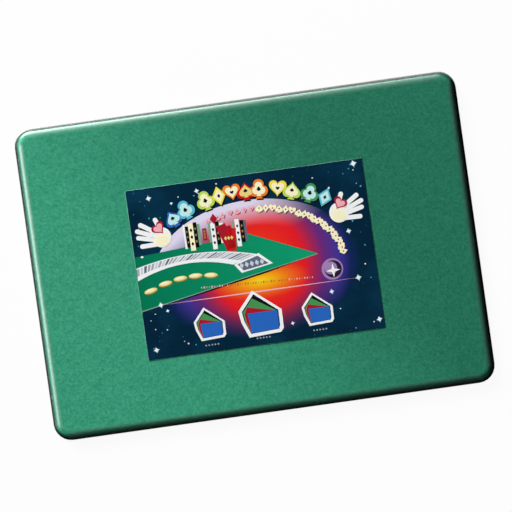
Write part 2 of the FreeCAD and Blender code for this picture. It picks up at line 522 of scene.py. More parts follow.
@dataclass(frozen=True)
class SpongeFinish(Finish):
    """Black closed-cell sponge with its pores showing."""

    name: str = "sponge_cells"
    skin: Colour = srgb(34, 36, 36)
    painted_pore_shade: Colour = srgb(9, 9, 9)

    def dress(self, desk: Desk, place: Socket, shader: Node) -> None:
        """Round pores of mixed size, with painted shade that darkens them towards the bottom."""
        depth = desk.spread(desk.cells(place, 1300.0), 0.15, 0.5, 1.0, 0.0)
        # painted shade: the pores darken with their depth
        share = desk.math("MULTIPLY", depth, desk.mottle(place, 12.0, 0.3)[0])
        desk.relief(shader, desk.math("MULTIPLY", depth, -1.0), 0.7, 0.2 * MM)
        desk.feed(shader, Base_Color=desk.mix(share, self.skin, self.painted_pore_shade), Roughness=0.85)


@dataclass(frozen=True)
class FilmFinish(Finish):
    """Hot-melt film: milky, with a web of thicker strands."""

    name: str = "hot_melt_film"
    clear: Colour = srgb(196, 190, 168)
    strand: Colour = srgb(226, 221, 204)

    def dress(self, desk: Desk, place: Socket, shader: Node) -> None:
        """Web of strands over a thinner skin."""
        strand = desk.spread(desk.cells(place, 420.0, "DISTANCE_TO_EDGE"), 0.02, 0.12, 1.0, 0.0)
        base = desk.mix(strand, self.clear, self.strand)
        desk.relief(shader, strand, 0.5, 0.05 * MM)
        desk.feed(shader, Base_Color=desk.shaded(base, desk.mottle(place, 16.0, 0.25)[0]), Roughness=0.4)


@dataclass(frozen=True)
class BoardFinish(Finish):
    """Uncoated card board: off-white, with short fibres and flecks."""

    name: str = "card_stock"
    paper: Colour = srgb(226, 224, 216)
    fleck: Colour = srgb(176, 170, 158)

    def dress(self, desk: Desk, place: Socket, shader: Node) -> None:
        """Fibres drawn out one way, and a few grey flecks."""
        drawn = desk.add("Mapping", None, Vector=place, Scale=(0.35, 1.0, 1.0)).outputs[0]
        shade, height = desk.mottle(drawn, 0.9, 0.16)
        fleck = desk.spread(desk.cells(drawn, 380.0), 0.04, 0.12, 0.7, 0.0)
        desk.relief(shader, height, 0.3, 0.03 * MM)
        base = desk.mix(fleck, self.paper, self.fleck)
        desk.feed(shader, Base_Color=desk.shaded(base, shade), Roughness=0.82)


@dataclass(frozen=True)
class ClearFilmFinish(Finish):
    """Clear gloss laminating film with faint rub marks."""

    name: str = "clear_gloss_film"

    def dress(self, desk: Desk, place: Socket, shader: Node) -> None:
        """Nearly invisible, a little cloudier where it was rubbed."""
        drawn = desk.add("Mapping", None, Vector=place, Rotation=(0.0, 0.0, 0.6), Scale=(0.12, 1.0, 1.0))
        _, rubs = desk.mottle(drawn.outputs[0], 1.4, 0.5)
        desk.feed(
            shader,
            Base_Color=(0.9, 0.92, 0.95),
            Alpha=desk.spread(rubs, -0.2, 0.5, 0.0005, 0.004),
            Roughness=desk.spread(rubs, -0.2, 0.5, 0.06, 0.2),
        )


class PrintFinish(Finish):
    """Base of the printed finishes: a colour put down as offset printing, with an even gloss."""

    dot_depth: ClassVar[float] = 0.04

    def colour(self, desk: Desk, place: Socket) -> object:
        """The colour before screen dots break it up."""
        raise NotImplementedError

    def dress(self, desk: Desk, place: Socket, shader: Node) -> None:
        """The colour, broken up as offset printing is."""
        made = desk.add(
            "Group",
            {"node_tree": Effect.printing()},
            Vector=place,
            Color=self.colour(desk, place),
            Dot_depth=self.dot_depth,
        )
        desk.relief(shader, made.outputs["Height"], 0.05, 0.01 * MM)
        desk.feed(
            shader,
            Base_Color=made.outputs["Color"],
            Roughness=0.35,
            Specular_IOR_Level=0.0,
            Coat_Weight=0.05,
            Coat_Roughness=0.12,
        )


class Ink(Enum):
    """Printed colours of the picture."""

    WHITE = srgb(244, 246, 246)
    CREAM = srgb(250, 244, 205)
    IVORY = srgb(248, 246, 226)
    BLACK = srgb(8, 14, 18)
    NAVY = srgb(0, 38, 62)
    RED = srgb(206, 26, 34)
    CRIMSON = srgb(170, 24, 48)
    ORANGE = srgb(240, 130, 40)
    YELLOW = srgb(240, 226, 70)
    LIME = srgb(190, 220, 90)
    CYAN = srgb(90, 190, 215)
    BLUE = srgb(40, 104, 192)
    LEAF = srgb(70, 150, 84)
    GREY = srgb(166, 172, 184)
    SLATE = srgb(96, 108, 132)
    GOLD = srgb(236, 216, 130)
    BRASS = srgb(150, 130, 60)
    ROSE = srgb(242, 178, 186)
    ICE = srgb(196, 236, 234)
    SAGE = srgb(128, 168, 146)
    SILVER = srgb(206, 212, 220)
    LILAC = srgb(164, 134, 184)
    DUSK = srgb(44, 26, 62)


@dataclass(frozen=True)
class InkFinish(PrintFinish):
    """One printed colour under the film."""

    ink: Ink
    dot_depth: ClassVar[float] = 0.12

    @property
    def name(self) -> str:
        """Name of the material."""
        return f"ink_{self.ink.name.lower()}"

    def colour(self, desk: Desk, place: Socket) -> object:
        """The plain ink."""
        return self.ink.value


@dataclass(frozen=True)
class SkyFinish(PrintFinish):
    """Night sky: deep navy with paler drifts and faint star dust."""

    name: str = "ink_sky"
    deep: Colour = srgb(0, 36, 58)
    drift: Colour = srgb(6, 58, 84)
    dust: Colour = srgb(120, 160, 190)

    def colour(self, desk: Desk, place: Socket) -> object:
        """Cloudy navy with tiny points."""
        sky = desk.mix(desk.spread(desk.cloud(place, 22.0, 4.0), 0.45, 0.8), self.deep, self.drift)
        return desk.mix(desk.spread(desk.cells(place, 120.0), 0.02, 0.07, 0.55, 0.0), sky, self.dust)


@dataclass(frozen=True)
class GlowFinish(PrintFinish):
    """A glowing dome: yellow heart, red, magenta and violet, with a lilac rim at the upper left."""

    heart: Point
    middle: Point
    reach: Point
    name: str = "ink_glow"
    heart_reach: Point = (50 * MM, 19 * MM)
    rings_shift: Point = (2 * MM, 4 * MM)
    rings_share: Point = (0.9, 1.44)
    lilac: Colour = srgb(226, 218, 240)
    night: Colour = srgb(0, 38, 62)
    hot: ClassVar[tuple[tuple[float, Colour], ...]] = (
        (0.0, srgb(252, 214, 30)),
        (0.3, srgb(248, 170, 20)),
        (1.0, srgb(240, 84, 26)),
    )
    rings: ClassVar[tuple[tuple[float, Colour], ...]] = (
        (0.0, srgb(240, 60, 30)),
        (0.3, srgb(236, 44, 30)),
        (0.5, srgb(228, 28, 38)),
        (0.62, srgb(160, 38, 84)),
        (0.72, srgb(104, 42, 124)),
        (0.86, srgb(66, 52, 148)),
        (1.0, srgb(24, 36, 104)),
    )

    def colour(self, desk: Desk, place: Socket) -> object:
        """Rings of colour about the heart, faded into the night towards the lower right."""
        centre = (self.middle[0] + self.rings_shift[0], self.middle[1] + self.rings_shift[1])
        wide = (self.reach[0] * self.rings_share[0], self.reach[1] * self.rings_share[1])
        heat = self.measure(desk, place, self.heart, self.heart_reach)
        rings = self.ramp(desk, self.measure(desk, place, centre, wide), self.rings)
        glow = desk.mix(desk.spread(heat, 0.3, 1.0, 1.0, 0.0), rings, self.ramp(desk, heat, self.hot))
        rim = self.measure(desk, place, self.middle, self.reach)
        x, y, _ = desk.split(place)
        lit = desk.spread(desk.math("SUBTRACT", y, desk.math("MULTIPLY", x, 0.35)), 8 * MM, 50 * MM)
        edge = desk.math("MULTIPLY", desk.spread(rim, 0.62, 0.93), lit)
        near = desk.math("MULTIPLY", desk.spread(rim, 0.55, 0.98), desk.spread(y, -30 * MM, -60 * MM))
        unlit = desk.math("SUBTRACT", 1.0, lit)
        right = desk.math("MULTIPLY", desk.spread(rim, 0.86, 1.0, 0.0, 0.9), unlit)
        fade = desk.math("MAXIMUM", near, right)
        return desk.mix(fade, desk.mix(edge, glow, self.lilac), self.night)

    @staticmethod
    def measure(desk: Desk, place: Socket, centre: Point, reach: Point) -> Socket:
        """Distance from a centre, as a share of an ellipse's reach."""
        moved = desk.vector("SUBTRACT", place, (*centre, 0.0))
        return desk.vector("LENGTH", desk.vector("MULTIPLY", moved, (1 / reach[0], 1 / reach[1], 0.0)))

    @staticmethod
    def ramp(desk: Desk, value: Socket, stops: Sequence[tuple[float, Colour]]) -> Socket:
        """Output of a colour ramp with the given stops."""
        node = desk.add("ValToRGB", None, i0=value)
        ends = node.color_ramp.elements
        while len(ends) < len(stops):
            ends.new(0.5)
        for end, (place, colour) in zip(ends, stops):
            end.position = place
            end.color = (*colour, 1.0)
        return node.outputs[0]


@dataclass(frozen=True)
class TableFinish(PrintFinish):
    """The printed green mat, lighter towards its far end."""

    start: float
    end: float
    name: str = "ink_table"
    near: Colour = srgb(0, 118, 82)
    far: Colour = srgb(14, 158, 112)
    dot_depth: ClassVar[float] = 0.05

    def colour(self, desk: Desk, place: Socket) -> object:
        """Two greens blended along the mat, with a fine printed grain."""
        base = desk.mix(desk.spread(desk.split(place)[0], self.start, self.end), self.near, self.far)
        return desk.shaded(base, desk.mottle(place, 1.2, 0.25)[0])


# ---------------------------------------------------------------- the pad


@dataclass
class RubberBase:
    """Black rubber skin: plain rim above, studs with V grooves between them below."""

    outline: Outline
    thickness: float
    border: float = 6 * MM
    stud_pitch: float = 3.6 * MM
    stud_slope: float = 0.55 * MM
    groove: float = 0.3 * MM
    edge_round: float = 0.22 * MM
    shoulder: Point = (1.5 * MM, 0.45 * MM)
    tucked: float = 4 * MM

    def build(self) -> Piece:
        """Builds the skin as one closed shell."""
        shell = bmesh.new()
        studded = self.outline.grown(-self.border)
        lay_flat(shell, studded, self.groove, self.stud_pitch)
        whole = [face for face in shell.faces if not any(edge.is_boundary for edge in face.edges)]
        bmesh.ops.inset_individual(shell, faces=whole, thickness=self.stud_slope, depth=0.0)
        for vert in {vert for face in whole for vert in face.verts}:
            vert.co.z = 0.0
        run_on(shell, studded, self.section())
        close_border(shell)
        finish = RubberFinish(self.outline.width / 2)
        return to_object(shell, "rubber_base", [finish.material()], sharp_over=50.0)

    def section(self) -> list[Point]:
        """Border of the underside, rounded outer edge and the way back in over the top."""
        bend = self.edge_round
        quarter = [math.pi / 2 * index / 4 for index in range(5)]
        path = [(self.groove, 0.0)]
        edge = self.border - bend
        path += [(edge + bend * math.sin(turn), bend - bend * math.cos(turn)) for turn in quarter]
        run, drop = self.shoulder
        start, top = self.border - run, self.thickness - drop
        path += [(start + run * math.cos(turn), top + drop * math.sin(turn)) for turn in quarter]
        path.append((self.border - self.tucked, self.thickness))
        return path


@dataclass
class SpongeCore:
    """The soft core under the cloth, its top slightly uneven where it was moulded."""

    flat: Outline
    roll: Roll
    cell: float = 9 * MM
    waviness: float = 0.06 * MM

    def build(self) -> Piece:
        """Builds the core as one closed, slightly uneven slab."""
        shell = bmesh.new()
        lay_flat(shell, self.flat, self.roll.crown, self.cell)
        for vert in shell.verts:
            vert.co.z += (noise.noise(vert.co * 30) - 1) * self.waviness
        run_on(shell, self.flat, self.roll.steps(8))
        close_border(shell)
        return to_object(shell, "sponge_slab", [SpongeFinish().material()], sharp_over=40.0)


@dataclass
class NapCloth:
    """The napped cloth: a flat top with a soft uneven lie, and an edge rolled down to the rubber."""

    flat: Outline
    roll: Roll
    thickness: float
    cell: float = 1.4 * MM
    roll_steps: int = 12
    lie: float = 0.07 * MM
    tuft: float = 0.05 * MM

    def build(self) -> Piece:
        """Builds the cloth as one closed sheet of its full thickness."""
        shell = bmesh.new()
        lay_flat(shell, self.flat, self.roll.crown, self.cell)
        run_on(shell, self.flat, FullRoll(self.roll).steps(self.roll_steps))
        for vert in shell.verts:
            vert.co.z += self.unevenness(vert.co) * min(1.0, (vert.co.z - self.roll.foot) / MM)
        inner = self.roll.inside(self.thickness)
        run_on(shell, self.flat, reversed([inner.at(index / 5) for index in range(6)]))
        close_border(shell)
        return to_object(shell, "nap_cloth", [NapFinish(self.flat).material()], sharp_over=60.0)

    def unevenness(self, place: Vector) -> float:
        """How far the nap stands above or below its mean height."""
        flat = Vector((place.x, place.y, 0.0))
        return self.lie * noise.noise(flat * 26) + self.tuft * noise.noise(flat * 330)

    def cut_size(self) -> Point:
        """Width and length of the cloth before it was rolled, measured half way through it."""
        middle = self.roll.inside(self.thickness / 2)
        hem = middle.radius * math.asin(middle.run / middle.radius)
        return self.flat.width + 2 * hem, self.flat.length + 2 * hem


@dataclass
class NapFibres:
    """Loose fibre ends that stand out of the pile, in patches repeated over the pad."""

    flat: Outline
    roll: Roll
    length: float = 0.75 * MM
    root: float = 0.07 * MM
    patch_count: int = 560
    columns: int = 10
    rows: int = 7
    strip: float = 40 * MM
    foot_share: float = 0.5
    foot_start: float = 0.95
    per_mm: float = 17.0
    corner_density: float = 2.2
    lean: Point = (-0.35, -0.2)
    lean_spread: float = 0.35
    standing_out: float = 0.3
    seed: int = 11

    def plant(self, shell: Shell, dice: random.Random, place: Vector, up: Vector) -> None:
        """Stands one fibre, a three-sided spike, on the pile."""
        lean = Vector((*(dice.gauss(mean, self.lean_spread) for mean in self.lean), 0.0))
        way = (up + lean).normalized()
        length = self.length * dice.uniform(0.6, 1.3)
        turn = way.to_track_quat("Z", "Y").to_matrix().to_4x4()
        spin = Matrix.Rotation(dice.uniform(0, math.tau), 4, "Z")
        at = Matrix.Translation(place + way * (length * self.standing_out))
        bmesh.ops.create_cone(
            shell,
            cap_ends=True,
            segments=3,
            radius1=self.root * dice.uniform(0.6, 1.2),
            radius2=0.0,
            depth=length,
            matrix=at @ turn @ spin,
        )

    def repeat(self, shell: Shell, count: int, step: Vector) -> None:
        """Repeats everything in the shell along a step, count times in all."""
        first = list(shell.verts) + list(shell.edges) + list(shell.faces)
        for index in range(1, count):
            copy = bmesh.ops.duplicate(shell, geom=first)["geom"]
            moved = [item for item in copy if isinstance(item, bmesh.types.BMVert)]
            bmesh.ops.translate(shell, verts=moved, vec=step * index)

    def build_top(self) -> Piece:
        """Fibres over the flat top."""
        dice = random.Random(self.seed)
        shell = bmesh.new()
        step_x = self.flat.length / self.columns
        step_y = self.flat.width / self.rows
        for _ in range(self.patch_count):
            x = dice.uniform(0, step_x) - self.flat.length / 2
            y = dice.uniform(0, step_y) - self.flat.width / 2
            self.plant(shell, dice, Vector((x, y, self.roll.crown)), Vector((0, 0, 1)))
        self.repeat(shell, self.columns, Vector((step_x, 0, 0)))
        self.repeat(shell, self.rows, Vector((0, step_y, 0)))
        reach_x, reach_y = self.flat.inner
        astray = [vert for vert in shell.verts if abs(vert.co.x) > reach_x and abs(vert.co.y) > reach_y]
        whole = {vert for seed in astray for face in seed.link_faces for vert in face.verts}
        bmesh.ops.delete(shell, geom=list(whole), context="VERTS")
        return to_object(shell, "nap_fibres_top", [NapFinish(self.flat).material()])

    def build_edge(self) -> Piece:
        """Fibres down the rolled edge, thicker where the cut foot meets the rubber."""
        dice = random.Random(self.seed + 1)
        shell = bmesh.new()
        for side in range(4):
            long_side = side % 2 == 0
            run = self.flat.length if long_side else self.flat.width
            reach = (self.flat.width if long_side else self.flat.length) / 2
            self.plant_side(shell, dice, run - 2 * self.flat.corner, reach, side)
        return to_object(shell, "nap_fibres_edge", [NapFinish(self.flat).material()])

    def bend_share(self, dice: random.Random) -> float:
        """Picks a place down the bend, often close to the cut foot."""
        if dice.random() < self.foot_share:
            return dice.uniform(self.foot_start, 1.0)
        return dice.random()

    def plant_side(
        self, target: Shell, dice: random.Random, run: float, reach: float, side: int
    ) -> None:
        """Plants one straight side and the corner after it, and joins them to the target.

        Args:
            target: the mesh that collects the sides.
            dice: the seeded random source.
            run: length of the straight side.
            reach: distance of the flat top's edge from the middle.
            side: 0 front, 1 right, 2 rear, 3 left.
        """
        part = bmesh.new()
        strips = max(1, round(run / self.strip))
        step = run / strips
        bend = FullRoll(self.roll)
        for _ in range(round(step / MM * self.per_mm)):
            share = self.bend_share(dice)
            out, height = bend.at(share)
            outward, upward = bend.facing(share)
            place = Vector((dice.uniform(0, step) - run / 2, -reach - out, height))
            self.plant(part, dice, place, Vector((0, -outward, upward)))
        self.repeat(part, strips, Vector((step, 0, 0)))
        for _ in range(round(self.flat.corner / MM * self.per_mm * self.corner_density)):
            share = self.bend_share(dice)
            out, height = bend.at(share)
            outward, upward = bend.facing(share)
            turn = dice.uniform(0, math.pi / 2)
            away = Vector((math.sin(turn), -math.cos(turn), 0))
            place = Vector((run / 2, -reach + self.flat.corner, height)) + away * (self.flat.corner + out)
            self.plant(part, dice, place, away * outward + Vector((0, 0, upward)))
        quarters = Matrix.Rotation(side * math.pi / 2, 3, "Z")
        bmesh.ops.rotate(part, verts=part.verts, cent=(0, 0, 0), matrix=quarters)
        mesh = bpy.data.meshes.new("side_fibres")
        part.to_mesh(mesh)
        part.free()
        target.from_mesh(mesh)
        bpy.data.meshes.remove(mesh)


# ---------------------------------------------------------------- the insert card


class Suit(Enum):
    """The four pips."""

    HEART = "heart"
    SPADE = "spade"
    DIAMOND = "diamond"
    CLUB = "club"


def heart_points(size: float, upside_down: bool = False, cut: float = 0.0) -> list[Point]:
    """Outline of a heart, with its notch left open by an angle where a stem joins it."""
    points = []
    for index in range(25):
        turn = cut + (math.tau - 2 * cut) * index / 24
        x = 16 * math.sin(turn) ** 3
        y = 13 * math.cos(turn) - 5 * math.cos(2 * turn) - 2 * math.cos(3 * turn) - math.cos(4 * turn)
        points.append((x / 32 * size, (y / 32 + 0.08) * size * (-1 if upside_down else 1)))
    return points if cut else points[:-1]


def club_points(size: float) -> list[Point]:
    """Outline of three leaves, open at the bottom for the stem."""
    points = []
    for index in range(29):
        turn = math.radians(-75 + 330 * index / 28)
        leaf = 0.3 + 0.24 * abs(math.cos(1.5 * (turn - math.pi / 2))) ** 0.7
        points.append((leaf * size * math.cos(turn), leaf * size * math.sin(turn)))
    return points


def suit_points(suit: Suit, size: float) -> list[Point]:
    """Outline of a pip about its middle."""
    foot = [(-0.2 * size, -0.55 * size), (0.2 * size, -0.55 * size)]
    if suit is Suit.HEART:
        return heart_points(size)
    if suit is Suit.DIAMOND:
        return [(0.0, 0.55 * size), (-0.4 * size, 0.0), (0.0, -0.55 * size), (0.4 * size, 0.0)]
    if suit is Suit.SPADE:
        return heart_points(size, upside_down=True, cut=0.35) + foot
    return club_points(size) + foot


def scaled(points: Iterable[Point], across: float, up: float | None = None) -> list[Point]:
    """Points made larger or smaller about their middle, by one share or by one each way."""
    return [(x * across, y * (across if up is None else up)) for x, y in points]


@dataclass
class Plate:
    """Collects the thin printed shapes of one piece of the picture.

    Places and sizes are given in millimetres from the card's middle. A level says how many prints lie under
    a shape.
    """

    name: str
    face: float
    origin: Point
    step: float = 0.02 * MM
    inks: list[Ink] = field(default_factory=list)
    finishes: Sequence[bpy.types.Material] = ()

    def __post_init__(self) -> None:
        """Starts the mesh."""
        self.shell = bmesh.new()
        self.lifts = 0

    def press(self, printed: bmesh.types.BMFace, ink: Ink, level: int) -> None:
        """Takes a face to its place on the card and gives it the thickness of the print."""
        if ink not in self.inks:
            self.inks.append(ink)
        printed.material_index = self.inks.index(ink)
        self.lifts += 1
        lift = self.face + (level - 1) * self.step + (self.lifts % 40) * 0.0001 * MM
        for vert in printed.verts:
            vert.co = Vector((vert.co.x + self.origin[0], vert.co.y + self.origin[1], lift))
        made = bmesh.ops.extrude_face_region(self.shell, geom=[printed], use_keep_orig=True)["geom"]
        raised = [item for item in made if isinstance(item, bmesh.types.BMVert)]
        bmesh.ops.translate(self.shell, verts=raised, vec=(0, 0, self.step))
        for side in {side for vert in raised for side in vert.link_faces}:
            side.material_index = printed.material_index

    def shape(
        self, points: Iterable[Point], ink: Ink, level: int, at: Point = (0.0, 0.0), turn: float = 0.0
    ) -> None:
        """Prints a shape from the few points of its outline.

        Args:
            points: the outline, about the shape's own middle.
            ink: its colour.
            level: how many prints lie under it.
            at: the shape's middle.
            turn: how far it is turned, in radians.
        """
        cosine, sine = math.cos(turn), math.sin(turn)
        across, up = at[0] * MM, at[1] * MM
        verts = [
            self.shell.verts.new((across + x * cosine - y * sine, up + x * sine + y * cosine, 0.0))
            for x, y in scaled(points, MM)
        ]
        face = self.shell.faces.new(verts)
        face.normal_update()
        if face.normal.z < 0:
            face.normal_flip()
        self.press(face, ink, level)

    def pip(self, suit: Suit, size: float, ink: Ink, level: int, at: Point, turn: float = 0.0) -> None:
        """Prints a pip."""
        self.shape(suit_points(suit, size), ink, level, at, turn)

    @staticmethod
    def placing(size: Point, at: Point, turn: float) -> Matrix:
        """Takes a shape of unit size to its own size, turn and place, in metres."""
        place = Matrix.Translation((at[0] * MM, at[1] * MM, 0.0)) @ Matrix.Rotation(turn, 4, "Z")
        return place @ Matrix.Diagonal((size[0] * MM, size[1] * MM, 1.0, 1.0))

    def disc(
        self, size: Point, ink: Ink, level: int, at: Point, sides: int = 32, turn: float = 0.0
    ) -> None:
        """Prints an ellipse by its half sizes."""
        place = self.placing(size, at, turn)
        made = bmesh.ops.create_circle(self.shell, cap_ends=True, segments=sides, radius=1.0, matrix=place)
        self.press(made["verts"][0].link_faces[0], ink, level)

    def dot(self, radius: float, ink: Ink, level: int, at: Point, sides: int = 12) -> None:
        """Prints a round dot."""
        self.disc((radius, radius), ink, level, at, sides)

    def bar(self, size: Point, ink: Ink, level: int, at: Point, turn: float = 0.0) -> None:
        """Prints a rectangle by its full sizes."""
        place = self.placing(size, at, turn)
        made = bmesh.ops.create_grid(self.shell, x_segments=1, y_segments=1, size=0.5, matrix=place)
        self.press(made["verts"][0].link_faces[0], ink, level)

    def finger(
        self, length: float, half_width: float, ink: Ink, level: int, root: Point, turn: float
    ) -> None:
        """Prints a round-ended bar that starts at its root and points along turn."""
        angles = [-math.pi / 2 + math.pi * index / 8 for index in range(9)]
        end = [(length + half_width * math.cos(angle), half_width * math.sin(angle)) for angle in angles]
        self.shape([*end, (0.0, half_width), (0.0, -half_width)], ink, level, root, turn)

    def sparkle(self, size: float, ink: Ink, level: int, at: Point, turn: float = 0.0) -> None:
        """Prints a four-pointed star."""
        points = []
        for index in range(8):
            reach = size if index % 2 == 0 else size * 0.3
            angle = math.pi / 4 * index
            points.append((reach * math.cos(angle), reach * math.sin(angle)))
        self.shape(points, ink, level, at, turn)

    def finish(self) -> Piece:
        """Makes the piece, in its inks or in the finishes that stand for them."""
        finishes = self.finishes or [InkFinish(ink).material() for ink in self.inks]
        return to_object(self.shell, self.name, finishes, sharp_over=20.0)


@dataclass
class InsertCard:
    """The printed insert: board, night-sky picture and the clear film over it.

    The picture's own places and sizes are in millimetres from the card's middle.
    """

    low: Vector
    high: Vector
    film_high: float
    dome_middle: Point = (0.0, -9.0)
    dome_reach: Point = (100.0, 66.8)
    glow_heart: Point = (2.0, -21.0)
    table_left: float = -115.2
    table_front: float = -34.6
    table_tip: Point = (60.4, -2.6)

    def __post_init__(self) -> None:
        """Works out the card's middle and its printed face."""
        self.middle = ((self.low.x + self.high.x) / 2, (self.low.y + self.high.y) / 2)
        self.size = (self.high.x - self.low.x, self.high.y - self.low.y)
        self.face = self.high.z - 0.1 * MM

    def in_frame(self, point: Point) -> Point:
        """A point of the picture in metres from the frame's origin."""
        return point[0] * MM + self.middle[0], point[1] * MM + self.middle[1]

    def slab(self, bottom: float, top: float) -> Shell:
        """A box of the card's plan size between two heights."""
        shell = bmesh.new()
        bmesh.ops.create_cube(shell, size=1.0)
        bmesh.ops.scale(shell, vec=(*self.size, top - bottom), verts=shell.verts)
        bmesh.ops.translate(shell, vec=(*self.middle, (bottom + top) / 2), verts=shell.verts)
        return shell

    def board(self) -> Piece:
        """The board itself, with lightly crushed cut edges."""
        shell = self.slab(self.low.z, self.face - 0.02 * MM)
        edges = list(shell.edges)
        bmesh.ops.bevel(
            shell, geom=edges, affect="EDGES", offset=0.03 * MM, segments=2, profile=0.5, material=-1
        )
        return to_object(shell, "card_board", [BoardFinish().material()], sharp_over=50.0)

    def film(self) -> Piece:
        """The clear film over the print."""
        shell = self.slab(self.face - 0.01 * MM, self.film_high + 0.04 * MM)
        return to_object(shell, "clear_film", [ClearFilmFinish().material()], sharp_over=50.0)

    def prints(self) -> Iterator[Piece]:
        """Makes the printed pieces, from the ground upwards."""
        drawings: tuple[Callable[[Plate], None], ...] = (
            self.sky,
            self.dome,
            self.table_shade,
            self.table,
            self.ribbon,
            self.coins,
            self.stacks,
            self.sample_icons,
            self.pip_arch,
            self.lozenge_arch,
            self.gloves,
            self.ring,
            self.stars,
        )
        for draw in drawings:
            plate = Plate(f"{draw.__name__}_print", self.face, self.middle)
            draw(plate)
            yield plate.finish()

    def sky(self, plate: Plate) -> None:
        """The navy ground over the whole face."""
        inset = 0.1
        plate.bar((self.size[0] / MM - inset, self.size[1] / MM - inset), Ink.NAVY, 0, (0.0, 0.0))
        plate.finishes = [SkyFinish().material()]

    def dome(self, plate: Plate) -> None:
        """The glowing dome."""
        plate.disc(self.dome_reach, Ink.RED, 1, self.dome_middle, sides=96)
        heart, middle = self.in_frame(self.glow_heart), self.in_frame(self.dome_middle)
        reach = (self.dome_reach[0] * MM, self.dome_reach[1] * MM)
        plate.finishes = [GlowFinish(heart, middle, reach).material()]

    def table_shade(self, plate: Plate) -> None:
        """The pale edge and dark underside of the printed mat, and the streak of light below it."""
        tip_x, tip_y = self.table_tip
        left, front = self.table_left, self.table_front
        plate.shape([(-97, -31.8), (-70, -28.5), (10, -14.2), (tip_x, tip_y), (-54, -22)], Ink.BLACK, 2)
        plate.shape([(left, front), (left, front - 0.9), (tip_x, tip_y - 0.7), (tip_x, tip_y)], Ink.SAGE, 3)
        plate.shape([(-96.4, 0.0), (0.0, -0.8), (96.4, 0.0), (0.0, 0.8)], Ink.ROSE, 4, (0, -31.3))
        for index in range(44):
            x = -55 + 2.5 * index
            size = 0.55 + 0.25 * math.sin(index * 1.9)
            ink = Ink.BRASS if abs(x) < 30 else Ink.ROSE
            plate.bar((size * 1.5, size * 2.6), ink, 4, (x, -20 - 0.1125 * index))

    def table(self, plate: Plate) -> None:
        """The green mat drawn in perspective."""
        left = self.table_left
        plate.shape([(left, 17.6), (left, self.table_front), self.table_tip, (-2.4, 25.2)], Ink.LEAF, 3)
        for at in ((-108, 17.2), (-64, 20)):
            plate.disc((1.4, 1.0), Ink.WHITE, 4, at, 12)
        finish = TableFinish(self.in_frame((left, 0))[0], self.in_frame(self.table_tip)[0])
        plate.finishes = [finish.material(), InkFinish(Ink.WHITE).material()]

    @staticmethod
    def band_point(share: float, height: float) -> Point:
        """A point on the arc of spread cards.

        Args:
            share: how far along the band, 0 at the card's left edge and 1 at the last card.
            height: how far up across the band, 0 at its front edge and 1 at its back edge.

        Returns:
            The point.
        """
        front_x = -115 + 93 * share
        front_y = 5.2 - (front_x + 64) ** 2 / 245
        back_x = -115 + 119 * share
        back_y = 13.9 - (back_x + 60) ** 2 / 430
        return front_x + (back_x - front_x) * height, front_y + (back_y - front_y) * height

    def band_patch(self, start: float, end: float, low: float, high: float) -> list[Point]:
        """A four-sided patch of the arc of spread cards."""
        return [self.band_point(*at) for at in ((start, low), (end, low), (end, high), (start, high))]

    def ribbon(self, plate: Plate) -> None:
        """A spread of cards that arcs across the printed mat."""
        count = 30
        backs = (Ink.GREY, Ink.SILVER, Ink.GREY, Ink.GREY, Ink.SLATE, Ink.SILVER)
        for index in range(count):
            start = index / count
            plate.shape(self.band_patch(start, (index + 1) / count, 0, 1), Ink.WHITE, 4)
            back = self.band_patch(start, (index + 0.7) / count, 0.36, 0.92)
            plate.shape(back, backs[(index * 5) % len(backs)], 5)
        middle_x, middle_y = middle = (-3.8, -3.5)
        last = [(-17.2, 1.3), (-10.8, -7.7), (20.4, -2.5), (7.8, 9.1)]
        plate.shape(last, Ink.WHITE, 6, middle)
        plate.shape(scaled(last, 0.8, 0.74), Ink.SLATE, 7, middle)
        for index in range(5):
            at = (middle_x + (index - 2) * 5, middle_y + 0.3 * index - 0.6)
            plate.pip(Suit.DIAMOND, 5.2, Ink.SILVER, 8, at, 0.2)

    def coins(self, plate: Plate) -> None:
        """Five coins laid in a gentle curve."""
        for index in range(5):
            x = -104.2 + 14.9 * index
            y = -7.6 - (x + 62) ** 2 / 208
            turn = -(x + 62) / 200
            plate.disc((6.7, 2.5), Ink.BRASS, 4, (x + 0.4, y - 0.7), turn=turn)
            plate.disc((6.4, 2.3), Ink.GOLD, 5, (x, y), turn=turn)
            plate.disc((4.6, 1.4), Ink.CREAM, 6, (x - 0.5, y + 0.3), turn=turn)

